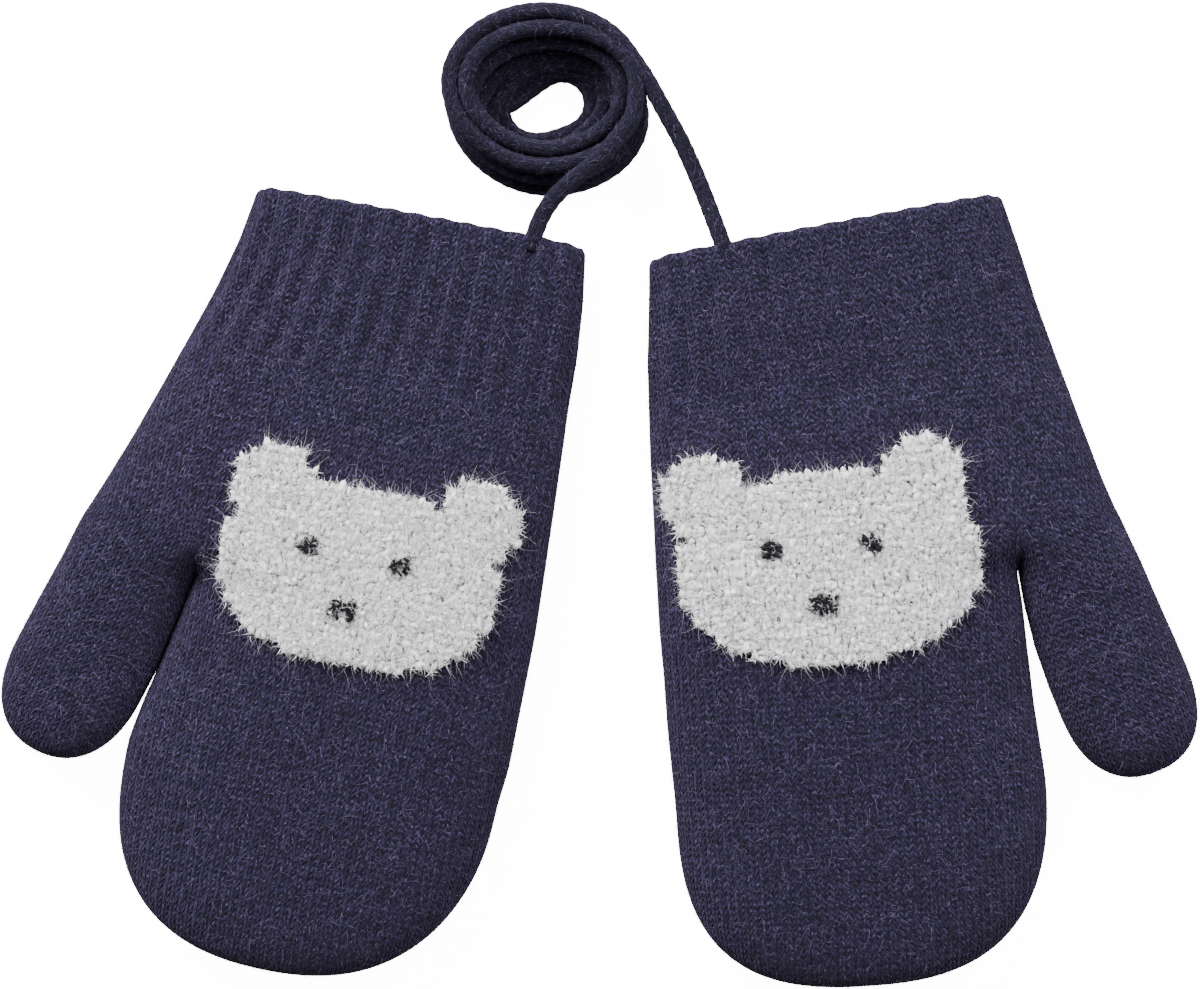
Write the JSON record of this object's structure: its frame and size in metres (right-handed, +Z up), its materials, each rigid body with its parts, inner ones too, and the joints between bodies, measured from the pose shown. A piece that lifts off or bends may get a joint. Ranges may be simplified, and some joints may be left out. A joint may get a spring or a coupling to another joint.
{
  "type": "pair of baby mittens",
  "caption": "Pair of knitted baby mittens with thumbs and ribbed cuffs, a pale bear on each, joined by one cord wound into a small coil.",
  "frame": {"origin": "Middle of the two mittens' box without the cord, on the surface that they lie on.", "axes": "+X from the left mitten to the right one, +Y from the fingertips to the cuffs, +Z up out of the surface."},
  "size_m": [0.2186, 0.1793, 0.0174],
  "materials": {
    "navy_wool": "brushed knitted wool, matt, with short fuzz",
    "pale_yarn": "thick fluffy knitting yarn, matt",
    "black_yarn": "plain yarn, matt",
    "navy_cord": "knitted wool cord, matt"
  },
  "bodies": {
    "root": {"left_cuff": "navy_wool", "left_hand": "navy_wool", "left_thumb": "navy_wool", "left_bear": "pale_yarn", "left_eye_1": "black_yarn", "left_eye_2": "black_yarn", "left_nose": "black_yarn", "right_cuff": "navy_wool", "right_hand": "navy_wool", "right_thumb": "navy_wool", "right_bear": "pale_yarn", "right_eye_1": "black_yarn", "right_eye_2": "black_yarn", "right_nose": "black_yarn", "cord_coil": "navy_cord", "cord_left": "navy_cord", "cord_right": "navy_cord"}
  },
  "joints": []
}
